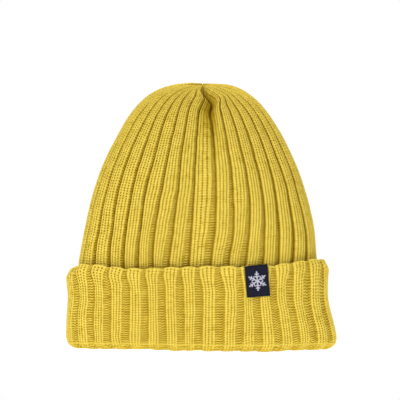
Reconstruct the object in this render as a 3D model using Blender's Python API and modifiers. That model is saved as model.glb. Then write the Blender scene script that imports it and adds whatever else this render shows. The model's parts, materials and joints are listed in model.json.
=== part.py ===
"""A rib-knit beanie with a turned-up cuff, a folded woven label and a care label inside.

Metres, +Z up. The front faces -Y, and the fold of the cuff stands on z = 0.
The knit is one seamed tube: it is built as two shells that meet just above the fold.
"""

import math

import bmesh
import bpy
from mathutils import Matrix, Vector

MM = 0.001

# Driving dimensions of the hat, lying slightly open as it does when nobody wears it.
HAT_HEIGHT = 233.6 * MM
CUFF_HEIGHT = 73.0 * MM
CUFF_HALF_WIDTH = 115.0 * MM
CUFF_HALF_DEPTH = 40.0 * MM
CUFF_FLARE = 2.5 * MM
CUFF_SQUARENESS = 3.0
CROWN_HALF_WIDTH = 103.0 * MM
CROWN_HALF_DEPTH = 50.0 * MM
CROWN_SQUARENESS = 2.3
KNIT = 3.2 * MM
CUFF_WALL = 3.5 * MM
GAP = 0.3 * MM

# The fold: how far the inner layer sits inside the outer one, and where the two shells meet.
LAYER_OFFSET = 7.0 * MM
FOLD_HEIGHT = 5.0 * MM
BAND_HALF_WIDTH = CUFF_HALF_WIDTH - LAYER_OFFSET
BAND_HALF_DEPTH = CUFF_HALF_DEPTH - LAYER_OFFSET
BAND_TOP_DEPTH = 35.8 * MM

# The woven label, folded over the cuff's free edge on the wearer's left.
LABEL_X = 49.7 * MM
LABEL_WIDTH = 20.0 * MM
LABEL_LENGTH = 26.0 * MM
LABEL_TILT = math.radians(5.0)
LABEL_CLOTH = 0.6 * MM
LABEL_CLEARANCE = 0.6 * MM
LABEL_TOP = 2.2 * MM
BACK_LEG_LENGTH = 16.0 * MM
MOTIF_RADIUS = 7.5 * MM
MOTIF_ARMS = 6
MOTIF_RELIEF = 0.3 * MM

# The care label inside, beside the back seam.
CARE_WIDTH = 24.0 * MM
CARE_LENGTH = 38.0 * MM
CARE_CLOTH = 0.5 * MM
CARE_X = 18.0 * MM
CARE_TOP = 62.0 * MM

# Threads.
SEAM_RADIUS = 1.0 * MM
CUFF_SEAM_RADIUS = 0.8 * MM
GATHER_RADIUS = 0.6 * MM
STITCH_RADIUS = 0.2 * MM
CARE_STITCH_RADIUS = 0.4 * MM

# Mesh density.
RING_POINTS = 72
CROWN_LEVELS = 16
BAND_LEVELS = 5

COLLECTION = bpy.data.collections.new("knit_beanie")


def clear_scene():
    for old in list(bpy.data.objects):
        bpy.data.objects.remove(old, do_unlink=True)
    bpy.context.scene.collection.children.link(COLLECTION)


def plain_material(name, colour, roughness):
    material = bpy.data.materials.new(name)
    material.use_nodes = True
    shader = material.node_tree.nodes["Principled BSDF"]
    shader.inputs["Base Color"].default_value = (*colour, 1.0)
    shader.inputs["Roughness"].default_value = roughness
    shader.inputs["Metallic"].default_value = 0.0
    return material


def add_object(name, data, colour, roughness):
    """Puts one named part in the hat's collection, with a material of its own."""
    part = bpy.data.objects.new(name, data)
    data.materials.append(plain_material(name, colour, roughness))
    COLLECTION.objects.link(part)
    return part


def shade_smooth(mesh):
    for face in mesh.polygons:
        face.use_smooth = True


# Outline of the hat.


def section_point(angle, half_width, half_depth, squareness):
    """A point on a superellipse; squareness 2 is an ellipse, and more is boxier."""
    power = 2.0 / squareness
    across = math.copysign(abs(math.cos(angle)) ** power, math.cos(angle))
    along = math.copysign(abs(math.sin(angle)) ** power, math.sin(angle))
    return half_width * across, half_depth * along


def section_ring(half_width, half_depth, squareness, height):
    ring = []
    for step in range(RING_POINTS):
        angle = 2.0 * math.pi * step / RING_POINTS
        x, y = section_point(angle, half_width, half_depth, squareness)
        ring.append(Vector((x, y, height)))
    return ring


def cuff_half_depth(height):
    """The cuff leans out a little towards its free edge."""
    return CUFF_HALF_DEPTH + CUFF_FLARE * height / CUFF_HEIGHT


def crown_section(rise):
    """The crown's half width, half depth, squareness and height, as rise goes from 0 to 1."""
    width = (1.0 - rise**1.75) ** 0.4 - 0.025 * math.sin(math.pi * rise)
    tuck = 1.0 - (1.0 - BAND_TOP_DEPTH / CROWN_HALF_DEPTH) * math.exp(-rise / 0.2)
    depth = (1.0 - rise**2.4) ** 0.38 * tuck
    squareness = CROWN_SQUARENESS + (CUFF_SQUARENESS - CROWN_SQUARENESS) * math.exp(-rise / 0.2)
    crown_top = HAT_HEIGHT - 2.0 * GATHER_RADIUS - GAP
    height = CUFF_HEIGHT + rise * (crown_top - CUFF_HEIGHT)
    return CROWN_HALF_WIDTH * width, CROWN_HALF_DEPTH * depth, squareness, height


def band_section(height):
    """Half width and half depth of the layer under the cuff."""
    share = height / CUFF_HEIGHT
    half_width = BAND_HALF_WIDTH + share * (CROWN_HALF_WIDTH - BAND_HALF_WIDTH)
    half_depth = BAND_HALF_DEPTH + share * (BAND_TOP_DEPTH - BAND_HALF_DEPTH)
    return half_width, half_depth


def crown_rise(level):
    """Levels crowd together towards the top, where the crown curves most."""
    return math.sin(0.5 * math.pi * level / CROWN_LEVELS)


def cuff_front(x, height):
    """y of the cuff's outer face at the front."""
    reach = (1.0 - abs(x / CUFF_HALF_WIDTH) ** CUFF_SQUARENESS) ** (1.0 / CUFF_SQUARENESS)
    return -cuff_half_depth(height) * reach


# Meshes.


def loft(rings, closed):
    """Joins rings of matching points into a skin; closed joins the last ring to the first."""
    mesh = bmesh.new()
    loops = [[mesh.verts.new(point) for point in ring] for ring in rings]
    pairs = list(zip(loops, loops[1:]))
    if closed:
        pairs.append((loops[-1], loops[0]))
    for lower, upper in pairs:
        for step in range(RING_POINTS):
            after = (step + 1) % RING_POINTS
            mesh.faces.new((lower[step], lower[after], upper[after], upper[step]))
    return mesh, loops


def finish_mesh(mesh, name):
    bmesh.ops.recalc_face_normals(mesh, faces=mesh.faces[:])
    data = bpy.data.meshes.new(name)
    mesh.to_mesh(data)
    mesh.free()
    return data


def extruded_outline(name, outline, thickness):
    """A flat closed outline in x and y, given its thickness along z, as a 2D curve."""
    curve = bpy.data.curves.new(name, "CURVE")
    curve.dimensions = "2D"
    curve.fill_mode = "BOTH"
    curve.extrude = thickness / 2.0
    spline = curve.splines.new("POLY")
    spline.points.add(len(outline) - 1)
    for point, (x, y) in zip(spline.points, outline):
        point.co = (x, y, 0.0, 1.0)
    spline.use_cyclic_u = True
    return curve


def thread(name, run, radius, cyclic=False):
    """One round thread along a list of points."""
    curve = bpy.data.curves.new(name, "CURVE")
    curve.dimensions = "3D"
    curve.bevel_depth = radius
    curve.bevel_resolution = 1
    curve.use_fill_caps = not cyclic
    spline = curve.splines.new("POLY")
    spline.points.add(len(run) - 1)
    for point, place in zip(spline.points, run):
        point.co = (*place, 1.0)
    spline.use_cyclic_u = cyclic
    return curve


def zigzag(width, swing, turns):
    """Points of a flat zigzag that runs along x and swings across y."""
    run = []
    for step in range(turns + 1):
        side = 0.5 if step % 2 == 0 else -0.5
        run.append((width * (step / turns - 0.5), side * swing))
    return run


# Knit shells.

MUSTARD = (0.68, 0.45, 0.05)
MUSTARD_THREAD = (0.58, 0.37, 0.04)


def make_knit_body():
    """The crown and the layer under the cuff, closed at the top where the knit is gathered."""
    rings = []
    bottom = FOLD_HEIGHT + GAP
    for level in range(BAND_LEVELS):
        height = bottom + (CUFF_HEIGHT - bottom) * level / BAND_LEVELS
        rings.append(section_ring(*band_section(height), CUFF_SQUARENESS, height))
    for level in range(CROWN_LEVELS):
        rings.append(section_ring(*crown_section(crown_rise(level))))
    mesh, loops = loft(rings, closed=False)
    mesh.faces.new(loops[-1])
    data = finish_mesh(mesh, "knit_body")
    shade_smooth(data)
    body = add_object("knit_body", data, MUSTARD, 0.9)
    wall = body.modifiers.new("knit thickness", "SOLIDIFY")
    wall.thickness = KNIT
    wall.offset = -1.0


def make_cuff():
    """The turned-up layer and the fold under it, as one wall swept round the hat."""
    wall = [
        (4.2, 0.0), (1.6, 1.2), (0.3, 4.0), (0.0, 9.0), (0.0, 36.0), (0.0, 64.0), (0.5, 70.0),
        (1.8, 73.0), (3.1, 70.5), (3.5, 64.0), (3.5, 36.0), (3.5, 8.0), (4.4, 4.6),
        (6.0, 3.6), (7.0, 5.0), (10.2, 5.0), (10.0, 2.0), (8.6, 0.0),
    ]
    rings = []
    for inset, height in wall:
        half_width = CUFF_HALF_WIDTH - inset * MM
        half_depth = cuff_half_depth(height * MM) - inset * MM
        rings.append(section_ring(half_width, half_depth, CUFF_SQUARENESS, height * MM))
    mesh, _ = loft(rings, closed=True)
    data = finish_mesh(mesh, "turned_up_cuff")
    shade_smooth(data)
    add_object("turned_up_cuff", data, MUSTARD, 0.9)


# Seams and gathers.


def make_back_seam():
    """The linked seam on the inside of the centre back, from the fold to the crown."""
    inset = KNIT + SEAM_RADIUS + 2.0 * GAP
    run = []
    for level in range(1, BAND_LEVELS):
        height = level * CUFF_HEIGHT / BAND_LEVELS
        run.append((0.0, band_section(height)[1] - inset, height))
    for level in range(CROWN_LEVELS - 2):
        rise = crown_rise(level)
        _, half_depth, _, height = crown_section(rise)
        lowered = SEAM_RADIUS * 2.0 * rise**4
        run.append((0.0, half_depth - inset - lowered, height - lowered))
    add_object("back_seam", thread("back_seam", run, SEAM_RADIUS), MUSTARD_THREAD, 0.85)


def make_cuff_seam():
    """The same seam on the turned-up layer, where it lies between the two layers."""
    run = []
    for share in (0.16, 0.5, 0.84):
        height = share * CUFF_HEIGHT
        outer = cuff_half_depth(height) - CUFF_WALL
        inner = band_section(height)[1]
        run.append((0.0, (outer + inner) / 2.0, height))
    add_object("cuff_seam", thread("cuff_seam", run, CUFF_SEAM_RADIUS), MUSTARD_THREAD, 0.85)


def make_gather_thread():
    """The thread drawn tight round the hole that closes the crown."""
    run = []
    for step in range(16):
        angle = 2.0 * math.pi * step / 16
        x, y = section_point(angle, 9.0 * MM, 4.5 * MM, 2.0)
        run.append((x, y, HAT_HEIGHT - GATHER_RADIUS))
    curve = thread("gather_thread", run, GATHER_RADIUS, cyclic=True)
    add_object("gather_thread", curve, MUSTARD_THREAD, 0.85)


# Woven label. Its own frame has x along its width, y up its length and z out of the hat's front.

NAVY = (0.018, 0.019, 0.042)
PALE_GREY = (0.45, 0.45, 0.52)


def label_frame():
    """Origin at the middle of the label's fold, on the cuff's outer face at its free edge."""
    step = 1.0 * MM
    slope = cuff_front(LABEL_X + step, CUFF_HEIGHT) - cuff_front(LABEL_X - step, CUFF_HEIGHT)
    turn = math.atan2(slope, 2.0 * step)
    place = Vector((LABEL_X, cuff_front(LABEL_X, CUFF_HEIGHT), CUFF_HEIGHT))
    lean = math.atan2(CUFF_FLARE, CUFF_HEIGHT)
    return (
        Matrix.Translation(place)
        @ Matrix.Rotation(turn, 4, "Z")
        @ Matrix.Rotation(math.pi / 2.0 + lean, 4, "X")
        @ Matrix.Rotation(LABEL_TILT, 4, "Z")
    )


def make_label_back_leg():
    """The fixed half: over the cuff's edge and down between the cuff and the crown."""
    front = LABEL_CLEARANCE - GAP
    back = -CUFF_WALL - LABEL_CLEARANCE - LABEL_CLOTH
    corner = 1.0 * MM
    outline = [
        (front, LABEL_TOP), (back + corner, LABEL_TOP), (back, LABEL_TOP - corner),
        (back, -BACK_LEG_LENGTH), (back + LABEL_CLOTH, -BACK_LEG_LENGTH),
        (back + LABEL_CLOTH, LABEL_TOP - corner - LABEL_CLOTH / 2.0),
        (back + corner + LABEL_CLOTH / 2.0, LABEL_TOP - LABEL_CLOTH),
        (front, LABEL_TOP - LABEL_CLOTH),
    ]
    curve = extruded_outline("label_back_leg", outline, LABEL_WIDTH)
    part = add_object("label_back_leg", curve, NAVY, 0.75)
    side_on = Matrix.Rotation(-math.pi / 2.0, 4, "Y")
    part.matrix_world = label_frame() @ side_on


def make_label_front_flap():
    """The half that hangs in front of the cuff. It turns on its top edge, at its own origin."""
    across = LABEL_WIDTH / 2.0
    length = LABEL_LENGTH + LABEL_TOP
    outline = [(-across, 0.0), (across, 0.0), (across, -length), (-across, -length)]
    curve = extruded_outline("label_front_flap", outline, LABEL_CLOTH)
    part = add_object("label_front_flap", curve, NAVY, 0.75)
    out = LABEL_CLEARANCE + LABEL_CLOTH / 2.0
    part.matrix_world = label_frame() @ Matrix.Translation((0.0, LABEL_TOP, out))


def make_label_motif():
    """A six-armed snow star woven into the label's face."""
    outline = []
    for step in range(2 * MOTIF_ARMS):
        radius = MOTIF_RADIUS if step % 2 == 0 else 0.3 * MOTIF_RADIUS
        angle = math.pi / 2.0 + math.pi * step / MOTIF_ARMS
        outline.append((radius * math.cos(angle), radius * math.sin(angle)))
    curve = extruded_outline("label_motif", outline, MOTIF_RELIEF)
    part = add_object("label_motif", curve, PALE_GREY, 0.7)
    out = LABEL_CLEARANCE + LABEL_CLOTH + GAP + MOTIF_RELIEF / 2.0
    part.matrix_world = label_frame() @ Matrix.Translation((0.0, -0.46 * LABEL_LENGTH, out))


def make_label_stitches():
    """The zigzag stitch that holds the label's back half to the cuff."""
    behind = -CUFF_WALL - LABEL_CLEARANCE - LABEL_CLOTH - GAP - STITCH_RADIUS
    run = zigzag(LABEL_WIDTH - 4.0 * MM, 1.6 * MM, 10)
    places = [(x, y - 12.0 * MM, behind) for x, y in run]
    part = add_object("label_stitches", thread("label_stitches", places, STITCH_RADIUS), NAVY, 0.7)
    part.matrix_world = label_frame()


# Care label.

WHITE = (0.75, 0.74, 0.71)


def care_label_y():
    """y of the care label's middle, just inside the layer that it is sewn to."""
    outer_edge = (CARE_X + CARE_WIDTH / 2.0) / CROWN_HALF_WIDTH
    reach = (1.0 - outer_edge**CUFF_SQUARENESS) ** (1.0 / CUFF_SQUARENESS)
    wall = band_section(CARE_TOP - CARE_LENGTH)[1] * reach - KNIT
    return wall - 3.0 * GAP - CARE_CLOTH / 2.0


def make_care_label():
    """The blank care label. It hangs from its top edge, at its own origin."""
    across = CARE_WIDTH / 2.0
    outline = [(-across, 0.0), (across, 0.0), (across, -CARE_LENGTH), (-across, -CARE_LENGTH)]
    curve = extruded_outline("care_label", outline, CARE_CLOTH)
    part = add_object("care_label", curve, WHITE, 0.5)
    stand_up = Matrix.Rotation(math.pi / 2.0, 4, "X")
    part.matrix_world = Matrix.Translation((CARE_X, care_label_y(), CARE_TOP)) @ stand_up


def make_care_label_stitches():
    """The zigzag stitch along the care label's top edge."""
    run = zigzag(CARE_WIDTH - 4.0 * MM, 1.6 * MM, 10)
    height = CARE_TOP + GAP + 0.8 * MM + CARE_STITCH_RADIUS
    places = [(CARE_X + x, care_label_y(), height + y) for x, y in run]
    curve = thread("care_label_stitches", places, CARE_STITCH_RADIUS)
    add_object("care_label_stitches", curve, MUSTARD_THREAD, 0.85)


def build():
    clear_scene()
    make_knit_body()
    make_cuff()
    make_back_seam()
    make_cuff_seam()
    make_gather_thread()
    make_label_back_leg()
    make_label_front_flap()
    make_label_motif()
    make_label_stitches()
    make_care_label()
    make_care_label_stitches()


build()
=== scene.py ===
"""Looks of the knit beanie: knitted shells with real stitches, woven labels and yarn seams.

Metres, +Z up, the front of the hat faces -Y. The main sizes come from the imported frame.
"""

import json
import math

import bpy
import numpy as np
from mathutils import Matrix, Vector


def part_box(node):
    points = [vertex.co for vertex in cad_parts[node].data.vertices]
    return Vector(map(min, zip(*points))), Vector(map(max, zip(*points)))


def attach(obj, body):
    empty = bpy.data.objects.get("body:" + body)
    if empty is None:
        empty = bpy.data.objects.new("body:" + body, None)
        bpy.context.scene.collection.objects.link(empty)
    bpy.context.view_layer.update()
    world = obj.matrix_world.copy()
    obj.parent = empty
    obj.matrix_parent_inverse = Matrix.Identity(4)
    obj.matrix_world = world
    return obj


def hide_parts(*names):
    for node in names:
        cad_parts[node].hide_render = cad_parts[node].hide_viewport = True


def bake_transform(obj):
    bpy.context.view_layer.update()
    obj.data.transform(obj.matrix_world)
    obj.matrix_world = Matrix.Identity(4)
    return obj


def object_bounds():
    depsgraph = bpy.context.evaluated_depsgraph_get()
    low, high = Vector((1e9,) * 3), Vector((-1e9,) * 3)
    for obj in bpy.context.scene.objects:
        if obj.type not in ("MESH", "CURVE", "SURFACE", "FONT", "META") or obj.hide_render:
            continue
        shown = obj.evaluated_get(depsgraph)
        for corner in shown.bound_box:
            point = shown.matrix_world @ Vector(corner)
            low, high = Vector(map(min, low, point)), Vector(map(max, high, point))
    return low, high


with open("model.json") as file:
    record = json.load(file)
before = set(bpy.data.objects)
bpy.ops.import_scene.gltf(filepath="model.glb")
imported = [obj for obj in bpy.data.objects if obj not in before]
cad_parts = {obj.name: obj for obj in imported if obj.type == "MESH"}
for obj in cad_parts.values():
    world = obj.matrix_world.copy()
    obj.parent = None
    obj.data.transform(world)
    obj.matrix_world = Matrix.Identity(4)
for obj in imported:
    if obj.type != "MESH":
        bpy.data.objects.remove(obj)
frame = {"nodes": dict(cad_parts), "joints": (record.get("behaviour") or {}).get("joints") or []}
CAD_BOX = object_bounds()

MM = 0.001

# Sizes from the frame. The hat is symmetric, so a box's far corner gives its half width and depth.
CUFF_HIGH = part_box("turned_up_cuff")[1]
BODY_LOW, BODY_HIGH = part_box("knit_body")
CUFF_HALF_WIDTH = CUFF_HIGH.x
CUFF_HEIGHT = CUFF_HIGH.z
CUFF_FLARE = 2.5 * MM
CUFF_HALF_DEPTH = CUFF_HIGH.y - CUFF_FLARE
HAT_TOP = CAD_BOX[1].z

# The crown's widest half sizes, before wall_half_width and wall_half_depth draw them in.
CROWN_HALF_WIDTH = 0.957 * BODY_HIGH.x
CROWN_HALF_DEPTH = 1.086 * BODY_HIGH.y

# Exponents of the superellipses that the rings follow; 2 is a plain ellipse.
CUFF_SQUARENESS = 3.0
CROWN_SQUARENESS = 2.3

# The layer under the cuff starts above the fold and lies inside the turned-up one.
FOLD_TOP = BODY_LOW.z
LAYER_OFFSET = 7.0 * MM
BAND_TOP_DEPTH = CUFF_HALF_DEPTH - 4.2 * MM

# Knit: ribs of four plain wales with two purl wales between them. A stitch is modelled with
# ACROSS points across its wale and ALONG points up its row.
RIBS = 34
PURL_WALES = 2
KNIT_WALES = 4
WALES = RIBS * (PURL_WALES + KNIT_WALES)
ROW = 2.1 * MM
CROWN_ROW = 2.2 * MM
ACROSS = 5
ALONG = 4
COLUMNS = WALES * ACROSS
CLOTH = 1.6 * MM
RIB_RELIEF = 2.8 * MM
STITCH_RELIEF = 0.6 * MM
INNER_RELIEF = 0.8

# A ring is measured at RING_SAMPLES points. The slack reaches SLACK_REACH of its half width.
RING_SAMPLES = 2880
SLACK_REACH = 0.4

rng = np.random.default_rng(11)
wale_rng = np.random.default_rng(12)


# Numbers and curves.


def smooth(low, high, value):
    share = np.clip((value - low) / (high - low), 0.0, 1.0)
    return share * share * (3.0 - 2.0 * share)


def hump(centre, width, value):
    return np.exp(-(((value - centre) / width) ** 2))


def signed_power(value, power):
    return np.sign(value) * np.abs(value) ** power


def rings(arc, half_width, half_depth, squareness, slack):
    """x and y at arc shares of superelliptic rings, from the back seam past the left to the front.

    arc is (rings, columns) and the rest one number for each ring; slack widens the ribs at the
    middle of the front and of the back.
    """
    angle = np.linspace(0.0, 2.0 * math.pi, RING_SAMPLES + 1) + math.pi / 2.0
    power = (2.0 / squareness)[:, None]
    x = signed_power(np.cos(angle), power)
    y = half_depth[:, None] * signed_power(np.sin(angle), power)
    step = np.hypot(half_width[:, None] * np.diff(x), np.diff(y))
    step = step * (1.0 - slack[:, None] * hump(0.0, SLACK_REACH, x[:, 1:]))
    share = np.concatenate([np.zeros((len(step), 1)), np.cumsum(step, axis=1)], axis=1)
    share /= share[:, -1:]
    arc = arc - np.floor(arc)
    x = np.stack([np.interp(a, s, v) for a, s, v in zip(arc, share, half_width[:, None] * x)])
    y = np.stack([np.interp(a, s, v) for a, s, v in zip(arc, share, y)])
    return x, y


def random_table(tall, cells, strength, source=rng):
    return source.normal(0.0, strength, (tall, cells))


def spread(table, share):
    """A table of random numbers, spread smoothly over rings (their share of the height) and columns."""
    tall, cells = table.shape
    at_ring = np.clip(share, 0.0, 1.0) * (tall - 1)
    low = np.minimum(np.floor(at_ring).astype(int), tall - 2)
    part = smooth(0.0, 1.0, at_ring - low)[:, None]
    lines = table[low] * (1.0 - part) + table[low + 1] * part
    at_column = np.arange(COLUMNS) / COLUMNS * cells
    left = np.floor(at_column).astype(int)
    step = smooth(0.0, 1.0, at_column - left)
    return lines[:, left] * (1.0 - step) + lines[:, (left + 1) % cells] * step


# Stitches and ribs.


def columns_in_rib():
    """For each column of points: its rib, its wale in the rib, and its place across the wale."""
    column = np.arange(COLUMNS)
    per_rib = (PURL_WALES + KNIT_WALES) * ACROSS
    rib = column // per_rib
    wale = (column % per_rib) // ACROSS
    place = (column % ACROSS + 0.5) / ACROSS
    return rib, wale, place


RIB, WALE, PLACE = columns_in_rib()
IS_PURL = WALE < PURL_WALES
IN_VALLEY = (WALE + PLACE) / PURL_WALES
ON_RIB = (WALE - PURL_WALES + PLACE) / KNIT_WALES

# 0 for the columns at the front and the back, 1 for those at the two sides.
AT_SIDE = smooth(0.35, 0.95, np.abs(np.sin(2.0 * math.pi * np.arange(COLUMNS) / COLUMNS)))

# Height of a rib at places across its purl wales, the valley, and across its knit wales.
VALLEY_PLACES = (0.0, 0.2, 0.6, 0.86, 1.0)
VALLEY_HEIGHTS = (0.55, 0.4, 0.27, 0.0, 0.08)
KNIT_PLACES = (0.0, 0.05, 0.16, 0.42, 0.7, 0.9, 1.0)
KNIT_HEIGHTS = (0.3, 0.7, 0.93, 1.0, 0.94, 0.76, 0.52)


def rib_share(knit_share):
    """Where each column lies across its rib, from 0 to 1; the purl wales come first."""
    return np.where(
        IS_PURL, IN_VALLEY * (1.0 - knit_share), 1.0 - knit_share + ON_RIB * knit_share
    )


def rib_profile():
    """Height of a rib across its columns: a gentle slope into the valley, then a steep edge."""
    in_valley = np.interp(IN_VALLEY, VALLEY_PLACES, VALLEY_HEIGHTS)
    on_rib = np.interp(ON_RIB, KNIT_PLACES, KNIT_HEIGHTS)
    return np.where(IS_PURL, in_valley, on_rib)


RIB_PROFILE = rib_profile()

# Unevenness of the stitches: how far the rows drift between half ribs and between wales, both
# in rows, and how much single stitches stand out. The tables cover TABLE_ROWS rows.
TABLE_ROWS = 120
STITCH_DRIFT = random_table(9, 2 * RIBS, 0.25)
STITCH_LUCK = random_table(TABLE_ROWS, WALES, 0.11)
WALE_DRIFT = random_table(11, WALES, 0.22, wale_rng)

# A plain stitch from the edge of its wale to the middle: the height of its leg, and how much
# the height swings up and down along the wale. A purl stitch swings by PURL_WAVE all across.
STITCH_PLACES = (0.0, 0.2, 0.6, 1.0)
LEG_HEIGHTS = (0.15, 0.3, 0.92, 0.72)
LEG_WAVES = (0.7, 0.65, 0.1, 0.15)
PURL_WAVE = 0.6

# The slant of the stitches: how far the swing shifts between the edge and the middle.
PLAIN_LEAN = 0.8 * math.pi
PURL_LEAN = 1.1 * math.pi


def stitch_height(row):
    """Relief of the stitches, from 0 to 1; row is one number for each ring."""
    drift = spread(STITCH_DRIFT, row / TABLE_ROWS) + spread(WALE_DRIFT, row / TABLE_ROWS)
    phase = 2.0 * math.pi * (row[:, None] + drift)
    luck = spread(STITCH_LUCK, row / TABLE_ROWS)
    inward = 1.0 - np.abs(2.0 * PLACE - 1.0)
    leg = np.interp(inward, STITCH_PLACES, LEG_HEIGHTS)
    wave = np.interp(inward, STITCH_PLACES, LEG_WAVES)
    plain = leg + wave * np.cos(phase + PLAIN_LEAN * inward)
    purl = 0.5 + PURL_WAVE * np.cos(phase + PURL_LEAN * (1.0 - inward))
    return np.clip(np.where(IS_PURL, purl, plain) + luck, 0.0, 1.0)


# Meshes.


def grid_mesh(name, points, uv_rows, rib, stitch):
    """A closed tube of quads: points is (rings, columns, 3), joined round both ways."""
    count, around = points.shape[:2]
    ring, column = np.meshgrid(np.arange(count), np.arange(around), indexing="ij")
    next_ring = (ring + 1) % count
    next_column = (column + 1) % around
    corners = np.stack(
        [
            ring * around + column,
            ring * around + next_column,
            next_ring * around + next_column,
            next_ring * around + column,
        ],
        axis=-1,
    ).reshape(-1)
    faces = count * around
    mesh = bpy.data.meshes.new(name)
    mesh.vertices.add(faces)
    mesh.vertices.foreach_set("co", points.astype(np.float32).reshape(-1))
    mesh.loops.add(4 * faces)
    mesh.loops.foreach_set("vertex_index", corners.astype(np.int32))
    mesh.polygons.add(faces)
    mesh.polygons.foreach_set("loop_start", np.arange(0, 4 * faces, 4, dtype=np.int32))
    mesh.polygons.foreach_set("use_smooth", np.ones(faces, dtype=bool))
    mesh.update(calc_edges=True)

    upper = np.append(uv_rows[1:], 1.0)
    left, right = column / around, (column + 1) / around
    low = np.broadcast_to(uv_rows[:, None], ring.shape)
    high = np.broadcast_to(upper[:, None], ring.shape)
    uv = np.stack([left, low, right, low, right, high, left, high], axis=-1).reshape(-1)
    layer = mesh.uv_layers.new(name="OFBake")
    layer.data.foreach_set("uv", uv.astype(np.float32))
    # The rib and stitch shares set the painted shade in the yarn's colour.
    for label, values in (("rib", rib), ("stitch", stitch)):
        shade = mesh.attributes.new(label, "FLOAT", "POINT")
        full = np.broadcast_to(values, (count, around))
        shade.data.foreach_set("value", full.astype(np.float32).reshape(-1))
    return add_piece(name, mesh)


def add_piece(name, mesh):
    mesh.validate()
    piece = bpy.data.objects.new(name, mesh)
    bpy.context.scene.collection.objects.link(piece)
    return piece


def points_and_normals(shape, along):
    """The smooth tube at places along its outline, and the way out of it."""
    step = 2e-4
    here = shape(along)
    up = shape(along + step) - shape(along - step)
    across = np.roll(here, -1, axis=1) - np.roll(here, 1, axis=1)
    normal = np.cross(across, up)
    length = np.linalg.norm(normal, axis=-1, keepdims=True)
    return here, normal / np.maximum(length, 1e-12)


# The crown and the layer under the cuff.

CROWN_PHASE = 0.21 / RIBS

# The cap starts at this share of the wall's rise and closes in on the gather.
CAP_START = 0.8
CAP_POWER = 2.65
GATHER = np.array([3.0 * MM, -9.5 * MM])
GATHER_HOLE = 0.012

# The one valley that the gather pulls in, down the front: its rib and its place in that rib's
# purl wales, its reach to either side in ribs, and how far it pulls the ribs beside it.
CREASE_RIB = 17
CREASE_PLACE = 0.85
CREASE_LEFT = 0.95
CREASE_RIGHT = 0.36
CREASE_DEPTH = 13.0 * MM
CREASE_PULL = 6.0 * MM
CREASE_PUSH = 0.4

# How the ribs run up the crown, in ribs: they turn up the wall and again over the top, and
# those at the sides start further on. The middle ones are wider by the slack.
WALL_TURN = 0.42
TOP_TURN = 0.15
SIDE_START = 0.2
MIDDLE_SLACK = 0.25

# Painted shade: how much darker the colour is made in the crease, the closed-up valleys and the valleys
# at the sides.
CREASE_SHADE = 0.72
CLOSED_VALLEY_SHADE = 0.1
SIDE_VALLEY_SHADE = 0.28

# The share of a rib that its knit wales take: at the cuff, how much more as the ribs close up
# towards the top, how much more at the sides, and at most.
KNIT_AT_CUFF = 0.62
KNIT_CLOSING = 0.26
SIDE_KNIT = 0.16
MOST_KNIT = 0.83

# The crown sits this much to the left where it comes out of the cuff.
NECK_SHIFT = 1.5 * MM

# Stitches start at this stage, just under the cuff's edge. The rest has fewer rings.
STITCHES_FROM = -0.15
HIDDEN_RINGS = 14
CROWN_INNER_RINGS = 90
OUTER_UV = 0.75


def wall_half_width(rise):
    """Half width of the wall at its share of the rise; the humps make it slimmer than a dome."""
    dome = (1.0 - rise**1.75) ** 0.4 - 0.025 * np.sin(math.pi * rise)
    return CROWN_HALF_WIDTH * (dome - 0.022 * hump(0.75, 0.2, rise))


def wall_half_depth(rise):
    """Half depth of the wall, drawn in where it comes out of the cuff."""
    tuck = 1.0 - (1.0 - BAND_TOP_DEPTH / CROWN_HALF_DEPTH) * np.exp(-rise / 0.2)
    return CROWN_HALF_DEPTH * (1.0 - rise**2.4) ** 0.38 * tuck


CAP_HALF_WIDTH = float(wall_half_width(np.float64(CAP_START)))
CAP_HALF_DEPTH = float(wall_half_depth(np.float64(CAP_START)))
CAP_DROP = (1.0 - CAP_START) * (HAT_TOP - CUFF_HEIGHT)


def crown_outline():
    """The crown's outline from the fold up to the gathered top, as columns against arc share.

    The stage is -1 to 0 on the band under the cuff, 0 to CAP_START up the wall, and one more
    over the cap, where the rings shrink towards the gather.
    """
    band = np.linspace(0.0, 1.0, 200)[:-1]
    rise = np.linspace(0.0, CAP_START, 600)[:-1]
    cap = np.linspace(1.0, GATHER_HOLE, 400)
    band_width = CUFF_HALF_WIDTH - LAYER_OFFSET
    band_depth = CUFF_HALF_DEPTH - LAYER_OFFSET
    width = np.concatenate([
        band_width + band * (CROWN_HALF_WIDTH - band_width),
        wall_half_width(rise),
        CAP_HALF_WIDTH * cap,
    ])
    depth = np.concatenate([
        band_depth + band * (BAND_TOP_DEPTH - band_depth),
        wall_half_depth(rise),
        CAP_HALF_DEPTH * cap,
    ])
    height = np.concatenate([
        FOLD_TOP + band * (CUFF_HEIGHT - FOLD_TOP),
        CUFF_HEIGHT + rise * (HAT_TOP - CUFF_HEIGHT),
        HAT_TOP - CAP_DROP * cap**CAP_POWER,
    ])
    stage = np.concatenate([band - 1.0, rise, CAP_START + 1.0 - cap])
    length = np.hypot(np.diff(0.5 * (width + depth)), np.diff(height))
    share = np.concatenate([[0.0], np.cumsum(length)])
    return share / share[-1], share[-1], (width, depth, height, stage)


CROWN_SHARE, CROWN_LENGTH, CROWN_TABLE = crown_outline()

# Unevenness of the crown: its ribs wander and wobble (in ribs), and its surface has low lumps.
CROWN_WANDER = random_table(9, RIBS, 0.038)
CROWN_WOBBLE = random_table(30, RIBS, 0.014)
CROWN_LUMPS = random_table(14, 24, 0.22 * MM)


def crown_at(along):
    """Width, depth, height and stage of the crown's outline at shares of its length."""
    return [np.interp(along, CROWN_SHARE, column) for column in CROWN_TABLE]


def crown_share_at(stage):
    """The share of the outline's length at which the crown reaches a stage."""
    return float(np.interp(stage, CROWN_TABLE[-1], CROWN_SHARE))


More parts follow.
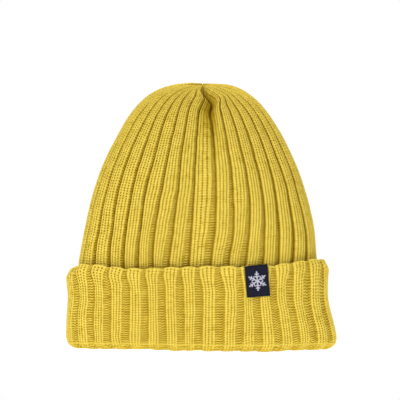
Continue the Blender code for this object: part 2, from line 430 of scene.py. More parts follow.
def crown_knit_share(stage):
    """The part of each rib that is plain knit: at the middle, and all round, as the ribs close up."""
    centre = (KNIT_AT_CUFF + KNIT_CLOSING * smooth(0.0, 0.65, stage))[:, None]
    return centre, np.minimum(centre + SIDE_KNIT * AT_SIDE, MOST_KNIT)


def crown_shape(along):
    """The smooth crown: rings that close up to the gather, with the ribs' lean, drift and crease."""
    width, depth, height, stage = crown_at(along)
    centre_share, knit_share = crown_knit_share(stage)
    twist = WALL_TURN * smooth(0.05, 0.6, stage) + TOP_TURN * smooth(0.55, 0.9, stage)
    drawn = SIDE_START * AT_SIDE * (1.0 - smooth(0.1, 0.5, stage))[:, None]
    rib = RIB + rib_share(knit_share) + knit_share - centre_share + drawn
    beside = smooth(CREASE_RIB - 0.7, CREASE_RIB + 0.3, rib) * (1.0 - smooth(18.0, 26.0, rib))
    upper = (smooth(-0.3, 0.6, stage) * (1.0 - smooth(0.7, 1.2, stage)))[:, None]
    pushed = CREASE_PUSH * beside * upper
    wander = spread(CROWN_WANDER, along) + spread(CROWN_WOBBLE, along)
    arc = (rib + twist[:, None] + pushed + wander) / RIBS + CROWN_PHASE
    like_cuff = np.exp(-np.maximum(stage, 0.0) / 0.2)
    squareness = CROWN_SQUARENESS + (CUFF_SQUARENESS - CROWN_SQUARENESS) * like_cuff
    over = np.maximum(stage - CAP_START, 0.0)
    inset = RIB_RELIEF * (1.0 - smooth(0.0, 0.8, over))
    slack = MIDDLE_SLACK * (1.0 - smooth(0.1, 0.9, stage))
    x, y = rings(arc, width - inset, depth - inset, squareness, slack)
    pull = over[:, None] ** 1.5
    neck = (1.0 - smooth(0.0, 0.25, np.abs(stage)))[:, None]
    x = x + pull * GATHER[0] - NECK_SHIFT * neck
    y = y + pull * GATHER[1]
    front = smooth(0.0, 0.5, -y / CAP_HALF_DEPTH)
    x = x + CREASE_PULL * hump(1.13, 0.18, stage)[:, None] * hump(8.0 * MM, 15.0 * MM, x) * front
    return np.stack([x, y, crown_height(x, y, height, over, inset)], axis=-1)


def crown_height(x, y, height, over, inset):
    """Level rings up the wall; over the cap, the height of the dome above each point."""
    across = np.abs(x) / (CAP_HALF_WIDTH - RIB_RELIEF)
    deep = np.abs(y) / (CAP_HALF_DEPTH - RIB_RELIEF)
    reach = (across**CROWN_SQUARENESS + deep**CROWN_SQUARENESS) ** (1.0 / CROWN_SQUARENESS)
    dome = HAT_TOP - CAP_DROP * np.minimum(reach, 1.2) ** CAP_POWER
    in_cap = smooth(0.0, 0.12, over)[:, None]
    level = np.broadcast_to(height[:, None], x.shape)
    sunk = (0.6 * (RIB_RELIEF - inset))[:, None]
    return level * (1.0 - in_cap) + (dome - sunk) * in_cap


def crown_relief(along, row):
    """Height of the knit over the smooth crown, and the rib and stitch shares that set its painted shade.
    """
    stage = crown_at(along)[-1]
    over = np.maximum(stage - CAP_START, 0.0)[:, None]
    fade = (1.0 - smooth(0.1, 1.0, over)) ** 0.8
    under = (1.0 - 0.6 * (1.0 - smooth(-0.25, 0.02, stage)))[:, None]
    stitches = stitch_height(row)
    ribs = RIB_PROFILE[None, :] * np.ones((len(along), 1))
    height = fade * under * RIB_RELIEF * ribs + fade * STITCH_RELIEF * stitches
    lumps = (1.0 + 1.5 * over) * smooth(0.0, 0.1, stage)[:, None]
    height = height + spread(CROWN_LUMPS, along) * lumps
    crease = deep_crease(stage)
    # Colour only: painted shade darkens the crease, and the purl valleys where the ribs close over them
    # and at the sides.
    closed = smooth(0.66, MOST_KNIT, crown_knit_share(stage)[1])
    dim = np.where(IS_PURL, CLOSED_VALLEY_SHADE * closed + SIDE_VALLEY_SHADE * AT_SIDE, 0.0)
    shade = (1.0 - CREASE_SHADE * crease) * (1.0 - dim)
    return height - CREASE_DEPTH * crease, ribs * shade, stitches * shade


def deep_crease(stage):
    """Share of the deepest point of the one valley that the gather pulls in, down the front."""
    per_rib = COLUMNS // RIBS
    crease_column = CREASE_RIB * per_rib + CREASE_PLACE * PURL_WALES * ACROSS
    away = (np.arange(COLUMNS) - crease_column) / per_rib
    side = np.where(away < 0.0, CREASE_LEFT, CREASE_RIGHT)
    notch = np.exp(-((away / side) ** 2))
    strength = smooth(0.5, 1.0, stage) * (1.0 - smooth(1.4, 1.8, stage))
    return strength[:, None] * notch[None, :]


def make_crown():
    """The crown as one closed sheet; it has stitches from just under the cuff's edge upwards."""
    start = crown_share_at(STITCHES_FROM)
    rows = int((1.0 - start) * CROWN_LENGTH / CROWN_ROW)
    fine = np.linspace(start, 0.999, rows * ALONG)
    hidden = np.linspace(0.001, start, HIDDEN_RINGS)[:-1]
    outer = np.concatenate([hidden, fine])
    row = np.interp(outer, (start, 1.0), (0.0, rows))
    inner = np.linspace(0.999, 0.001, CROWN_INNER_RINGS)
    place, normal = points_and_normals(crown_shape, outer)
    height, rib, stitch = crown_relief(outer, row)
    outside = place + normal * height[..., None]
    place, normal = points_and_normals(crown_shape, inner)
    within, inner_rib, inner_stitch = crown_relief(inner, 0.0 * inner)
    thick = CLOTH * (1.0 - 0.6 * smooth(0.9, 1.7, crown_at(inner)[-1]))
    inside = place + normal * (INNER_RELIEF * within - thick[:, None])[..., None]
    points = np.concatenate([outside, inside])
    uv = np.concatenate([outer * OUTER_UV, OUTER_UV + (1.0 - OUTER_UV) * (1.0 - inner)])
    ribs = np.concatenate([rib, 1.0 - inner_rib])
    piece = grid_mesh("knit_crown", points, uv, ribs, np.concatenate([stitch, inner_stitch]))
    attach(piece, "hat")
    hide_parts("knit_body")
    return piece


# The turned-up cuff.

CUFF_PHASE = 0.738 / RIBS
CUFF_RELIEF = 2.1 * MM
CUFF_INNER_RINGS = 56
RIM_SHADE = 0.85

# The share of a rib that its knit wales take, and how much more at the free edge.
CUFF_KNIT = 0.6
EDGE_CLOSING = 0.22

# How the ribs run up the cuff, in ribs: they lean at the edge, and those right of the middle
# stand further on.
CUFF_LEAN = 0.1
CUFF_PUSH = 0.27

# The ends are rounded in at the fold and at the free edge, which also stands out a little.
CORNER_ROUND = 2.5 * MM
EDGE_OUT = 0.9 * MM

# The fold at the bottom, and the ridge that runs round just above it: a row of tight stitches, raised a
# little and given a painted highlight.
FOLD_BEND = 5.1 * MM
FOLD_RAISE = 2.0 * MM
FOLD_RIDGE = 6.0 * MM
RIDGE_RELIEF = 0.3 * MM

# How strongly the ribs still show over the fold and on its inside.
FOLD_RIBS = 0.3

# The free edge has a scallop over each rib. It rises towards both ends, most at the right,
# falls off at the very ends and dips left of the middle.
EDGE_SCALLOP = 1.2 * MM
EDGE_PEAK = 6.5 * MM
PEAK_FALL = 4.0 * MM
LEFT_RISE = 2.2 * MM
LEFT_FALL = 7.0 * MM
MIDDLE_DIP = 1.3 * MM

# The right end stands out at the base, goes in above it and out again at the edge.
RIGHT_OUT = 3.6 * MM
RIGHT_IN = 8.2 * MM
RIGHT_EDGE_OUT = 1.5 * MM
LEFT_OUT = 1.8 * MM

# The fold lifts off the floor towards both ends, and a little all along the front.
BASE_LIFT = 3.2 * MM
FRONT_LIFT = 0.6 * MM

# 0 in a valley, 1 on the middle of a rib.
RIB_CROWN = np.where(IS_PURL, 0.0, np.sin(math.pi * np.clip(ON_RIB, 0.0, 1.0)) ** 0.6)


def cuff_outline():
    """Inset and height of the outer side: from inside the hat, round the fold, up to the edge."""
    turn = np.linspace(0.0, math.pi, 200)
    rise = np.linspace(0.0, 1.0, 400)[1:]
    inset = np.concatenate([FOLD_BEND * (1.0 + np.cos(turn)), 0.0 * rise])
    drop = FOLD_BEND * 0.8
    straight = FOLD_RAISE + drop
    wall = straight + rise * (CUFF_HEIGHT - straight)
    height = np.concatenate([straight - drop * np.sin(turn), wall])
    length = np.hypot(np.diff(inset), np.diff(height))
    share = np.concatenate([[0.0], np.cumsum(length)])
    return share / share[-1], share[-1], inset, height


CUFF_SHARE, CUFF_LENGTH, CUFF_INSET, CUFF_RISE = cuff_outline()

# Unevenness of the cuff, and of its free edge.
CUFF_WANDER = random_table(5, RIBS, 0.04)
CUFF_WOBBLE = random_table(12, RIBS, 0.016)
CUFF_LUMPS = random_table(5, RIBS, 0.25 * MM)
EDGE_TABLE = random_table(2, RIBS, 0.35 * MM)


def cuff_shape(along):
    """The smooth cuff: flat rings round the fold and up to the scalloped free edge."""
    inset = np.interp(along, CUFF_SHARE, CUFF_INSET) + CUFF_RELIEF
    height = np.interp(along, CUFF_SHARE, CUFF_RISE)
    height = height + np.maximum(along - 1.0, 0.0) * CUFF_LENGTH
    up = height / CUFF_HEIGHT
    knit_share = (CUFF_KNIT + EDGE_CLOSING * smooth(0.78, 0.98, up))[:, None]
    lean = CUFF_LEAN * smooth(0.8, 1.0, up)[:, None]
    wander = spread(CUFF_WANDER, along) + spread(CUFF_WOBBLE, along)
    rib = RIB + rib_share(knit_share)
    pushed = CUFF_PUSH * smooth(16.3, 18.0, rib) * (1.0 - smooth(23.0, 26.0, rib))
    arc = (rib + lean + pushed + wander) / RIBS + CUFF_PHASE
    corner = CORNER_ROUND * (1.0 - smooth(0.0, 9.0 * MM, height) + smooth(0.92, 1.0, up))
    half_depth = CUFF_HALF_DEPTH + CUFF_FLARE * up
    x, y = rings(
        arc,
        CUFF_HALF_WIDTH - inset - corner,
        half_depth - inset + EDGE_OUT * hump(1.0, 0.05, up),
        np.full_like(height, CUFF_SQUARENESS),
        np.zeros_like(height),
    )
    z = np.broadcast_to(height[:, None], x.shape)
    edge = EDGE_SCALLOP * (RIB_CROWN - 0.5)[None, :] + spread(EDGE_TABLE, along)
    z = z + edge * smooth(0.8, 1.0, up)[:, None]
    return lean_cuff(np.stack([x, y, z], axis=-1))


def lean_cuff(points):
    """The cuff's own unevenness: flared on the right, a peak at the right corner, a lifted base."""
    x, y, z = points[..., 0], points[..., 1], points[..., 2]
    up = z / CUFF_HEIGHT
    side = x / CUFF_HALF_WIDTH
    right = RIGHT_OUT - RIGHT_IN * smooth(0.1, 0.7, up) + RIGHT_EDGE_OUT * smooth(0.76, 1.0, up)
    left = LEFT_OUT * hump(0.68, 0.2, up)
    shift = right * smooth(0.2, 0.9, side) + left * smooth(0.2, 0.9, -side)
    peak = EDGE_PEAK * smooth(0.45, 0.95, side) - PEAK_FALL * smooth(0.93, 1.0, side)
    left_rise = LEFT_RISE * smooth(0.55, 0.85, -side) - LEFT_FALL * smooth(0.88, 1.0, -side)
    dip = MIDDLE_DIP * hump(-0.42, 0.25, side)
    edge = (peak + left_rise - dip) * smooth(0.5, 1.0, up)
    away = np.where(side < 0.4, (0.4 - side) / 1.4, (side - 0.4) / 0.7)
    low = 1.0 - smooth(0.0, 0.3, up)
    front = smooth(0.1, 0.8, -y / CUFF_HALF_DEPTH)
    lift = low * (BASE_LIFT * away**1.5 + FRONT_LIFT * front)
    return np.stack([x + shift, y, z + edge + lift], axis=-1)


def cuff_relief(along, row):
    """Height of the knit over the smooth cuff, and the rib and stitch shares that set its painted shade
    and highlight.
    """
    height = np.interp(along, CUFF_SHARE, CUFF_RISE)
    up = height / CUFF_HEIGHT
    outer_face = smooth(0.06, 0.1, along)
    ribs = RIB_PROFILE[None, :] * np.ones((len(along), 1))
    stitches = stitch_height(row)
    ribbed = smooth(FOLD_RIDGE, FOLD_RIDGE + 6.0 * MM, height) * outer_face
    strong = (FOLD_RIBS + (1.0 - FOLD_RIBS) * ribbed)[:, None]
    ridge = (hump(FOLD_RIDGE, 1.1 * MM, height) * outer_face)[:, None]
    edge = smooth(0.95, 1.0, up)[:, None]
    relief = CUFF_RELIEF * (ribs * strong + 0.45 * (1.0 - strong)) * (1.0 - 0.25 * edge)
    stitches = 0.5 + (stitches - 0.5) * np.clip(strong + 0.35, 0.0, 1.0)
    relief = relief + RIDGE_RELIEF * ridge + STITCH_RELIEF * stitches * (1.0 - 0.3 * edge)
    relief = relief + spread(CUFF_LUMPS, along)
    # Colour only: the valleys' painted shade is weaker over the fold and fades out at the free edge, and
    # the ridge gets a painted highlight.
    shade = np.maximum(ribs * strong + 0.75 * (1.0 - strong), 0.95 * ridge)
    bright = np.maximum(stitches, 0.75 * ridge * (0.65 + 0.6 * stitches))
    return relief, np.maximum(shade, 0.8 * edge), bright


def make_cuff():
    """The turned-up layer and its fold as one closed sheet, with rolled rims."""
    rows = int(CUFF_LENGTH / ROW)
    outer = np.linspace(0.0, 1.0, rows * ALONG)
    inner = np.linspace(1.0, 0.0, CUFF_INNER_RINGS)
    place, normal = points_and_normals(cuff_shape, outer)
    height, rib, stitch = cuff_relief(outer, outer * rows)
    outside = place + normal * height[..., None]
    place, normal = points_and_normals(cuff_shape, inner)
    within, inner_rib, inner_stitch = cuff_relief(inner, 0.0 * inner)
    inside = place + normal * (INNER_RELIEF * within - CLOTH)[..., None]
    edge = rolled_rim(outside[-1], inside[0])
    start = rolled_rim(inside[-1], outside[0])
    points = np.concatenate([outside, edge, inside, start])
    rim = np.full((len(edge), COLUMNS), RIM_SHADE)
    ribs = np.concatenate([rib, rim, 1.0 - inner_rib, rim])
    stitches = np.concatenate([stitch, rim, inner_stitch, rim])
    uv = np.linspace(0.0, 1.0, len(points) + 1)[:-1]
    piece = grid_mesh("knit_cuff", points, uv, ribs, stitches)
    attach(piece, "hat")
    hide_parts("turned_up_cuff")
    return piece


def rolled_rim(first, last, steps=6):
    """Rings that round off the cloth's edge between its two sides."""
    middle = (first + last) / 2.0
    arm = first - middle
    around = np.roll(middle, -1, axis=0) - np.roll(middle, 1, axis=0)
    around /= np.linalg.norm(around, axis=1, keepdims=True)
    out = np.cross(around, arm)
    angles = np.linspace(0.0, math.pi, steps + 2)[1:-1]
    return np.stack([middle + math.cos(a) * arm - math.sin(a) * out for a in angles])


# Woven label, care label and yarns.

# Woven cloth: points across a label, the pitch of its threads and how far they stand out.
LABEL_COLUMNS = 61
THREAD_PITCH = 0.35 * MM
LABEL_WEAVE = 0.05 * MM
SATIN_WEAVE = 0.03 * MM

# The woven label, in the frame of its hinge: the bend over the cuff's edge, how far behind and
# below the edge its back leg reaches, and how its front curls and bows out.
LABEL_SHIFT = -1.2 * MM
LABEL_CLOTH = 0.55 * MM
LABEL_BEND = 2.6 * MM
LABEL_BEHIND = -5.2 * MM
LABEL_BACK = -16.0 * MM
LABEL_SHORT = 1.2 * MM
LABEL_CURL = 0.5 * MM
LABEL_BOW = 0.3 * MM
LABEL_STEPS = 44

# The motif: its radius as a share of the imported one's height, and its place on the label.
MOTIF_RADIUS = 0.56
MOTIF_RAISE = 0.7 * MM
MOTIF_PROUD = 0.35 * MM

# A bar of the motif: its steps along, its height, which tapers off at both ends, and its
# section as (across, height). The star's twigs are (start along the arm, length).
MOTIF_STEPS = 8
MOTIF_RELIEF = 0.22 * MM
MOTIF_TAPER = 0.55
MOTIF_SECTION = ((-1.0, 0.0), (-0.6, 0.8), (0.0, 1.0), (0.6, 0.8), (1.0, 0.0))
STAR_ARMS = 6
STAR_TWIGS = ((0.38, 0.3), (0.64, 0.24))
TWIG_TURN = math.pi / 3.0
ARM_HALF_WIDTH = 0.07
TWIG_HALF_WIDTH = 0.055

# A yarn is a tube whose two plies turn once round each other in twice this length.
YARN_TWIST = 2.2 * MM
YARN_SIDES = 10

# The back seam: its radius, its lift off the knit, the stages it runs between, its points and
# its swing to either side, in columns.
SEAM_YARN = 0.4 * MM
SEAM_LIFT = 0.25 * MM
SEAM_FROM = -0.02
SEAM_TO = CAP_START + 0.85
SEAM_POINTS = 1400
SEAM_SWING = 1.6

# The gather: its radius, how deep it lies, its stage, and its turns, each of which is smaller
# by the winding.
GATHER_YARN = 0.45 * MM
GATHER_LIFT = -0.3 * MM
GATHER_STAGE = CAP_START + 0.96
GATHER_TURNS = 3.0
GATHER_POINTS = 240
GATHER_WINDING = 0.29


def label_frame():
    """The label's hinge, with x along the fold, y up the label and z out of the hat."""
    joint = next(joint for joint in frame["joints"] if joint["child"] == "label_flap")
    origin = Vector(joint["pos_m"])
    across = -Vector(joint["axis"]).normalized()
    corners = [vertex.co for vertex in frame["nodes"]["label_front_flap"].data.vertices]
    centre = sum(corners, Vector()) / len(corners)
    up = (origin - centre).normalized()
    out = across.cross(up).normalized()
    turn = Matrix((across, up, out)).transposed().to_4x4()
    width = max((corner - centre).dot(across) for corner in corners)
    return Matrix.Translation(origin) @ turn, width, 2.0 * (origin - centre).length


LABEL_PLACE, LABEL_HALF_WIDTH, LABEL_LENGTH = label_frame()


def label_path():
    """The label's middle line as (y, z): up behind the cuff's edge, over it and down the front."""
    back = [(y, LABEL_BEHIND) for y in np.linspace(LABEL_BACK, -LABEL_BEND, 16)]
    over = []
    for angle in np.linspace(math.pi, 0.0, 18)[1:-1]:
        y = LABEL_BEND * (math.sin(angle) ** 0.8 - 1.0)
        over.append((y, LABEL_BEHIND / 2.0 * (1.0 - math.cos(angle))))
    down = np.linspace(-LABEL_BEND, -LABEL_LENGTH + LABEL_SHORT, LABEL_STEPS)
    hang = [(y, LABEL_CURL * ((y + LABEL_BEND) / LABEL_LENGTH) ** 2) for y in down]
    return np.array(back + over + hang)


def woven_sheet(name, path, half_width, cloth, frame_matrix, weave, bow=0.0):
    """A flat strip of thickness cloth along path, with a fine weave pressed into its outer side."""
    across = np.linspace(-1.0, 1.0, LABEL_COLUMNS)
    path = resample(path, THREAD_PITCH)
    tangent = np.gradient(path, axis=0)
    tangent /= np.linalg.norm(tangent, axis=1, keepdims=True)
    normal = np.stack([-tangent[:, 1], tangent[:, 0]], axis=-1)
    ring, column = np.meshgrid(np.arange(len(path)), np.arange(len(across)), indexing="ij")
    thread_up = (ring + column) % 2
    selvedge = smooth(0.93, 0.99, np.abs(across))[None, :]
    rise = cloth / 2.0 + weave * thread_up * (1.0 - selvedge) + 0.5 * weave * selvedge
    bent = bow * (1.0 - across**2)[None, :] * np.linspace(0.0, 1.0, len(path))[:, None]
    sides = []
    for height in (rise + bent, bent - cloth / 2.0 * np.ones_like(rise)):
        y = path[:, :1] + normal[:, :1] * height
        z = path[:, 1:] + normal[:, 1:] * height
        x = np.broadcast_to(across * half_width, y.shape)
        sides.append(np.stack([x, y, z], axis=-1))
    piece = closed_sheet(name, sides[0], sides[1])
    piece.matrix_world = frame_matrix
    return piece


def resample(path, step):
    """The path with points about one step apart."""
    length = np.concatenate([[0.0], np.cumsum(np.linalg.norm(np.diff(path, axis=0), axis=1))])
    at = np.linspace(0.0, length[-1], int(length[-1] / step) + 1)
    return np.stack([np.interp(at, length, path[:, k]) for k in range(path.shape[1])], axis=-1)


def closed_sheet(name, top, bottom):
    """A closed mesh from two grids of points of the same size, joined round their rims."""
    rows, columns = top.shape[:2]
    count = rows * columns
    index = np.arange(count).reshape(rows, columns)
    corners = [index[:-1, :-1], index[:-1, 1:], index[1:, 1:], index[1:, :-1]]
    quads = np.stack(corners, axis=-1).reshape(-1, 4)
    rim = np.concatenate([index[0, :-1], index[:-1, -1], index[-1, :0:-1], index[:0:-1, 0]])
    after = np.roll(rim, -1)
    wall = np.stack([rim, rim + count, after + count, after], axis=-1)
    faces = np.concatenate([quads, quads[:, ::-1] + count, wall])
    mesh = bpy.data.meshes.new(name)
    mesh.from_pydata(np.concatenate([top, bottom]).reshape(-1, 3).tolist(), [], faces.tolist())
    mesh.polygons.foreach_set("use_smooth", np.ones(len(faces), dtype=bool))
    return add_piece(name, mesh)


def yarn_tube(name, path, radius):
    """A two-ply yarn along path, which is an array of points."""
    ahead = np.vstack([path[1:], 2.0 * path[-1] - path[-2]])
    behind = np.vstack([2.0 * path[0] - path[1], path[:-1]])
    tangent = ahead - behind
    tangent /= np.linalg.norm(tangent, axis=1, keepdims=True)
    side = np.cross(tangent, (0.13, 0.31, 0.94))
    side /= np.linalg.norm(side, axis=1, keepdims=True)
    other = np.cross(tangent, side)
    run = np.concatenate([[0.0], np.cumsum(np.linalg.norm(np.diff(path, axis=0), axis=1))])
    angle = np.linspace(0.0, 2.0 * math.pi, YARN_SIDES, endpoint=False)
    ply = 0.72 + 0.28 * np.abs(np.cos(angle[None, :] - math.pi * run[:, None] / YARN_TWIST))
    cosine, sine = np.cos(angle)[None, :, None], np.sin(angle)[None, :, None]
    around = cosine * side[:, None] + sine * other[:, None]
    points = (path[:, None] + radius * ply[..., None] * around).reshape(-1, 3)
    index = np.arange(len(points)).reshape(len(path), YARN_SIDES)
    here, following = index[:-1], index[1:]
    corners = [here, np.roll(here, -1, axis=1), np.roll(following, -1, axis=1), following]
    faces = np.stack(corners, axis=-1).reshape(-1, 4).tolist()
    faces += [index[0, ::-1].tolist(), index[-1].tolist()]
    mesh = bpy.data.meshes.new(name)
    mesh.from_pydata(points.tolist(), [], faces)
    mesh.polygons.foreach_set("use_smooth", np.ones(len(faces), dtype=bool))
    return add_piece(name, mesh)


def make_label():
    """The folded label as one woven strip over the cuff's edge, in place of its back leg and front flap.
    """
    path = label_path()
    place = LABEL_PLACE @ Matrix.Translation((LABEL_SHIFT, 0.0, 0.0))
    label = woven_sheet("woven_label", path, LABEL_HALF_WIDTH, LABEL_CLOTH, place, LABEL_WEAVE, LABEL_BOW)
    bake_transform(label)
    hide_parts("label_back_leg", "label_front_flap")
    return label


def snow_bars():
    """The bars of a six-armed snow star: (from, to, half width) in units of its radius."""
    bars = []
    for arm in range(STAR_ARMS):
        angle = math.pi / 2.0 + arm * 2.0 * math.pi / STAR_ARMS
        ray = np.array([math.cos(angle), math.sin(angle)])
        bars.append((0.0 * ray, ray, ARM_HALF_WIDTH))
        for start, reach in STAR_TWIGS:
            for turn in (-TWIG_TURN, TWIG_TURN):
                twig = np.array([math.cos(angle + turn), math.sin(angle + turn)])
                bars.append((start * ray, start * ray + reach * twig, TWIG_HALF_WIDTH))
    return bars


def make_motif():
    """The star's bars, each a low bundle of thread on the label's face."""
    low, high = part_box("label_motif")
    radius = MOTIF_RADIUS * (high.z - low.z)
    centre_y = (LABEL_PLACE.inverted() @ ((low + high) / 2.0)).y + MOTIF_RAISE
    sides = len(MOTIF_SECTION)
    points, faces = [], []
    for start, end, half in snow_bars():
        along = end - start
        side = half * np.array([-along[1], along[0]]) / np.linalg.norm(along)
        first = len(points)
        for share in np.linspace(0.0, 1.0, MOTIF_STEPS + 1):
            for across, height in MOTIF_SECTION:
                x, y = radius * (start + share * along + across * side)
                taper = MOTIF_TAPER if share in (0.0, 1.0) else 1.0
                points.append((x, y, MOTIF_RELIEF * height * taper))
        for step in range(MOTIF_STEPS):
            ring = first + sides * step
            for corner in range(ring, ring + sides - 1):
                faces.append((corner + sides, corner + sides + 1, corner + 1, corner))
            faces.append((ring + 2 * sides - 1, ring + sides, ring, ring + sides - 1))
        faces.append(tuple(range(first, first + sides)))
        last = first + sides * MOTIF_STEPS
        faces.append(tuple(reversed(range(last, last + sides))))
    mesh = bpy.data.meshes.new("woven_star")
    mesh.from_pydata(points, [], faces)
    star = add_piece("woven_star", mesh)
    front = LABEL_CLOTH / 2.0 + MOTIF_PROUD
    star.matrix_world = LABEL_PLACE @ Matrix.Translation((LABEL_SHIFT, centre_y, front))
    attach(star, "label_flap")
    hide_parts("label_motif")
    return star


def make_care_label():
    """The blank satin label inside; it swings on its stitched top edge."""
    low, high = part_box("care_label")
    length = high.z - low.z
    middle = Vector(((low.x + high.x) / 2.0, (low.y + high.y) / 2.0, high.z))
    turn = Matrix.Rotation(math.pi / 2.0, 4, "X")
    down = np.linspace(0.0, -length, 40)
    path = np.array([(y, 0.0) for y in down])
    cloth = high.y - low.y
    half_width = (high.x - low.x) / 2.0
    place = Matrix.Translation(middle) @ turn
    label = woven_sheet("care_tag", path, half_width, cloth, place, SATIN_WEAVE)
    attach(label, "care_flap")
    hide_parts("care_label")
    return label


def crown_path(columns, along, lift):
    """Points on the crown's surface along given columns, lift above it."""
    place, normal = points_and_normals(crown_shape, along)
    height = crown_relief(along, 0.0 * along)[0]
    surface = place + normal * (height[..., None] + lift)
    return surface[np.arange(len(along)), columns % COLUMNS]


def make_back_seam():
    """The yarn that closes the back: a zigzag down the valley at the middle of the back."""
    first, last = crown_share_at(SEAM_FROM), crown_share_at(SEAM_TO)
    along = np.linspace(first, last, SEAM_POINTS)
    length = (along - first) * CROWN_LENGTH
    middle = 0.5 * PURL_WALES * ACROSS
    swing = SEAM_SWING * np.sin(2.0 * math.pi * length / (2.0 * ROW))
    columns = np.rint(middle + swing).astype(int)
    path = crown_path(columns, along, SEAM_LIFT)
    seam = yarn_tube("back_seam_yarn", blur(path, 3), SEAM_YARN)
    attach(seam, "hat")
    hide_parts("back_seam")
    return seam


def blur(path, times):
    """The path with its corners smoothed off and its ends kept."""
    for _ in range(times):
        path[1:-1] = (path[:-2] + 2.0 * path[1:-1] + path[2:]) / 4.0
    return path


def make_gather_yarn():
    """The yarn drawn tight at the gather: three turns that wind in to its middle."""
    turns = np.linspace(0.0, GATHER_TURNS, GATHER_POINTS)
    along = np.full_like(turns, crown_share_at(GATHER_STAGE))
    columns = np.rint(turns * COLUMNS).astype(int)
    path = crown_path(columns, along, GATHER_LIFT)
    middle = path.mean(axis=0)
    path = middle + (path - middle) * (1.0 - GATHER_WINDING * turns)[:, None]
    yarn = yarn_tube("gather_yarn", blur(path, 4), GATHER_YARN)
    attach(yarn, "hat")
    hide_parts("gather_thread")
    return yarn


# Materials.

# Yarn colours, from painted shade in the deepest gap between stitches to the top of a stitch.
YARN_DARK = np.array([0.24, 0.125, 0.001])
YARN_MIDDLE = np.array([0.57, 0.395, 0.022])
YARN_LIGHT = np.array([0.85, 0.64, 0.1])

# Painted shade: how much darker the valleys between the ribs are made, as a tint.
BODY_VALLEY_SHADE = (0.64, 0.55, 0.24)
CUFF_VALLEY_SHADE = (0.9, 0.85, 0.56)

SEAM_TINT = (0.62, 0.42, 0.045)
NAVY = (0.007, 0.007, 0.019)
NAVY_THREAD = (0.012, 0.011, 0.024)
SILVER = (0.42, 0.42, 0.50)
SATIN = (0.75, 0.74, 0.71)
WHITE = (1.0, 1.0, 1.0)
GREY = (0.5, 0.5, 0.5)
BLACK = (0.0, 0.0, 0.0)


def node(tree, kind, **values):
    """A new shader node; values name its input sockets or its own settings."""
    made = tree.nodes.new(kind)
    for name, value in values.items():
        socket = name.replace("_", " ")
        if socket in made.inputs:
            made.inputs[socket].default_value = value
        else:
            setattr(made, name, value)
    return made


def colour(tint):
    return (*tint, 1.0)


def set_inputs(shader, **values):
    for name, value in values.items():
        shader.inputs[name.replace("_", " ")].default_value = value


def shader_tree(name):
    material = bpy.data.materials.new(name)
    material.use_nodes = True
    tree = material.node_tree
    return material, tree, tree.nodes["Principled BSDF"]


def attribute(tree, name):
    return node(tree, "ShaderNodeAttribute", attribute_name=name).outputs["Fac"]


def remap(tree, value, low, high, to_low, to_high):
    mapped = node(
        tree, "ShaderNodeMapRange", From_Min=low, From_Max=high, To_Min=to_low, To_Max=to_high
    )
    tree.links.new(value, mapped.inputs["Value"])
    return mapped.outputs["Result"]


def scaled(tree, tint, factor):
    product = node(tree, "ShaderNodeVectorMath", operation="SCALE")
    tree.links.new(tint, product.inputs[0])
    tree.links.new(factor, product.inputs["Scale"])
    return product.outputs["Vector"]


def noise(tree, scale, detail):
    place = node(tree, "ShaderNodeTexCoord")
    texture = node(tree, "ShaderNodeTexNoise", Scale=scale, Detail=detail, Roughness=0.6)
    tree.links.new(place.outputs["Object"], texture.inputs["Vector"])
    return texture.outputs["Fac"]


def add_bump(tree, shader, height, strength, distance):
    bump = node(tree, "ShaderNodeBump", Strength=strength, Distance=distance)
    tree.links.new(height, bump.inputs["Height"])
    tree.links.new(bump.outputs["Normal"], shader.inputs["Normal"])


def ramp(tree, value, *stops):
    """A colour ramp over value; stops are (position, tint), from low to high."""
    made = node(tree, "ShaderNodeValToRGB")
    elements = made.color_ramp.elements
    while len(elements) < len(stops):
        elements.new(0.5)
    for element, (position, tint) in zip(elements, stops):
        element.position = position
        element.color = colour(tint)
    tree.links.new(value, made.inputs["Fac"])
    return made.outputs["Color"]


def knit_material(name, lift, shade):
    """Matt yarn with painted shade: darker and warmer between the stitches and, by shade, down in the
    valleys.
    """
    material, tree, shader = shader_tree(name)
    stops = ((0.1, YARN_DARK * lift), (0.45, YARN_MIDDLE * lift), (0.8, YARN_LIGHT * lift))
    by_stitch = ramp(tree, attribute(tree, "stitch"), *stops)
    by_rib = ramp(tree, attribute(tree, "rib"), (0.0, shade), (0.32, WHITE))
    mottle = remap(tree, noise(tree, 500.0, 3.0), 0.3, 0.7, 0.84, 1.1)
    tint = node(tree, "ShaderNodeVectorMath", operation="MULTIPLY")
    tree.links.new(by_stitch, tint.inputs[0])
    tree.links.new(by_rib, tint.inputs[1])
    tree.links.new(scaled(tree, tint.outputs["Vector"], mottle), shader.inputs["Base Color"])
    add_bump(tree, shader, noise(tree, 2600.0, 2.0), 0.5, 0.25 * MM)
    set_inputs(shader, Roughness=0.9, Specular_IOR_Level=0.05)
    set_inputs(shader, Sheen_Weight=0.06, Sheen_Roughness=0.5, Sheen_Tint=colour((1.0, 0.8, 0.2)))
    return material


def cloth_material(name, tint, rough):
    """Woven ribbon: fine threads lighten and darken it a little."""
    material, tree, shader = shader_tree(name)
    base = node(tree, "ShaderNodeRGB")
    base.outputs["Color"].default_value = colour(tint)
    mottle = remap(tree, noise(tree, 1800.0, 2.0), 0.3, 0.7, 0.7, 1.3)
    tree.links.new(scaled(tree, base.outputs["Color"], mottle), shader.inputs["Base Color"])
    add_bump(tree, shader, noise(tree, 3000.0, 2.0), 0.4, 0.12 * MM)
    set_inputs(shader, Roughness=rough, Specular_IOR_Level=0.12)
    return material


def assign(piece, material):
    piece.data.materials.clear()
    piece.data.materials.append(material)


# Stage.

VIEW_TARGET = Vector((0.4 * MM, 0.0, 131.5 * MM))
VIEW_WIDTH = 346.0 * MM
VIEW_DISTANCE = 4.8
VIEW_ELEVATION = math.radians(-0.5)
SENSOR_WIDTH = 36.0
FLOOR_RADIUS = 1.2
BACKDROP_RADIUS = 7.0

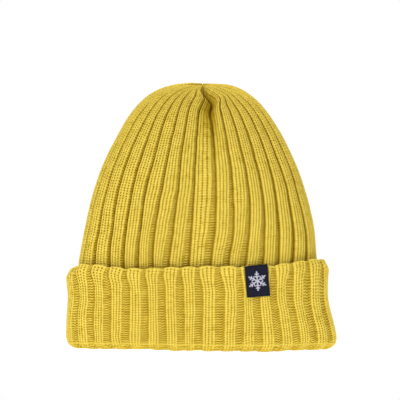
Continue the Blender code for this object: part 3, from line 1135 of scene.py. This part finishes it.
# Soft lights, all aimed at the middle of the hat: place, size and power.
LIGHT_TARGET = Vector((0.0, 0.0, 0.12))
LIGHTS = {
    "key": ((-1.0, -1.3, 1.3), 0.9, 21.7),
    "fill": ((1.3, -1.2, 0.5), 1.2, 6.0),
    "back": ((0.4, 1.2, 1.6), 1.2, 30.0),
}
SKY_STRENGTH = 0.55


def make_camera():
    camera = bpy.data.objects.new("camera", bpy.data.cameras.new("camera"))
    bpy.context.scene.collection.objects.link(camera)
    back = Vector((0.0, -math.cos(VIEW_ELEVATION), math.sin(VIEW_ELEVATION)))
    camera.location = VIEW_TARGET + back * VIEW_DISTANCE
    camera.rotation_euler = (-back).to_track_quat("-Z", "Y").to_euler()
    camera.data.sensor_width = SENSOR_WIDTH
    camera.data.lens = SENSOR_WIDTH * VIEW_DISTANCE / VIEW_WIDTH
    bpy.context.scene.camera = camera


def make_light(name, place, size, power):
    lamp = bpy.data.lights.new(name, "AREA")
    lamp.size = size
    lamp.energy = power
    light = bpy.data.objects.new(name, lamp)
    bpy.context.scene.collection.objects.link(light)
    light.location = Vector(place)
    light.rotation_euler = (LIGHT_TARGET - light.location).to_track_quat("-Z", "Y").to_euler()


def make_floor():
    """A pale disc that fades into the white surroundings before its rim."""
    bpy.ops.mesh.primitive_circle_add(vertices=128, radius=FLOOR_RADIUS, fill_type="NGON")
    floor = bpy.context.object
    floor.name = "floor"
    material, tree, shader = shader_tree("pale_floor")
    set_inputs(shader, Base_Color=colour(GREY), Roughness=0.9)
    set_inputs(shader, Emission_Color=colour(WHITE), Emission_Strength=0.9)
    place = node(tree, "ShaderNodeTexCoord")
    length = node(tree, "ShaderNodeVectorMath", operation="LENGTH")
    tree.links.new(place.outputs["Object"], length.inputs[0])
    fade = remap(tree, length.outputs["Value"], 0.2, 1.1, 1.0, 0.0)
    tree.links.new(fade, shader.inputs["Alpha"])
    assign(floor, material)


def make_backdrop():
    """A white sphere round everything that only the camera sees."""
    bpy.ops.mesh.primitive_uv_sphere_add(segments=48, ring_count=24, radius=BACKDROP_RADIUS)
    backdrop = bpy.context.object
    backdrop.name = "backdrop"
    material, _, shader = shader_tree("white_backdrop")
    set_inputs(shader, Base_Color=colour(BLACK), Specular_IOR_Level=0.0)
    set_inputs(shader, Emission_Color=colour(WHITE), Emission_Strength=1.0)
    assign(backdrop, material)
    backdrop.visible_diffuse = False
    backdrop.visible_glossy = False
    backdrop.visible_transmission = False
    backdrop.visible_volume_scatter = False
    backdrop.visible_shadow = False


def make_surroundings():
    world = bpy.data.worlds.new("studio")
    world.use_nodes = True
    set_inputs(world.node_tree.nodes["Background"], Color=colour(WHITE), Strength=SKY_STRENGTH)
    bpy.context.scene.world = world
    bpy.context.scene.view_settings.view_transform = "Standard"
    make_floor()
    make_backdrop()
    for name, (place, size, power) in LIGHTS.items():
        make_light(name, place, size, power)


def build():
    # The crown and the cuff are the same yarn; their copies differ in lift and valley tint as painted
    # light and shade for each part.
    knit = knit_material("body_knit_yarn", 0.845, BODY_VALLEY_SHADE)
    cuff_knit = knit_material("cuff_knit_yarn", 0.87, CUFF_VALLEY_SHADE)
    yarn = cloth_material("seam_yarn", SEAM_TINT, 0.9)
    navy = cloth_material("navy_ribbon", NAVY, 0.7)
    navy_thread = cloth_material("navy_thread", NAVY_THREAD, 0.75)
    silver = cloth_material("silver_thread", SILVER, 0.6)
    satin = cloth_material("white_satin", SATIN, 0.45)
    assign(make_crown(), knit)
    assign(make_cuff(), cuff_knit)
    assign(make_label(), navy)
    assign(make_motif(), silver)
    assign(make_care_label(), satin)
    assign(make_back_seam(), yarn)
    assign(make_gather_yarn(), yarn)
    assign(frame["nodes"]["cuff_seam"], yarn)
    assign(frame["nodes"]["care_label_stitches"], yarn)
    assign(frame["nodes"]["label_stitches"], navy_thread)
    make_camera()
    make_surroundings()


build()
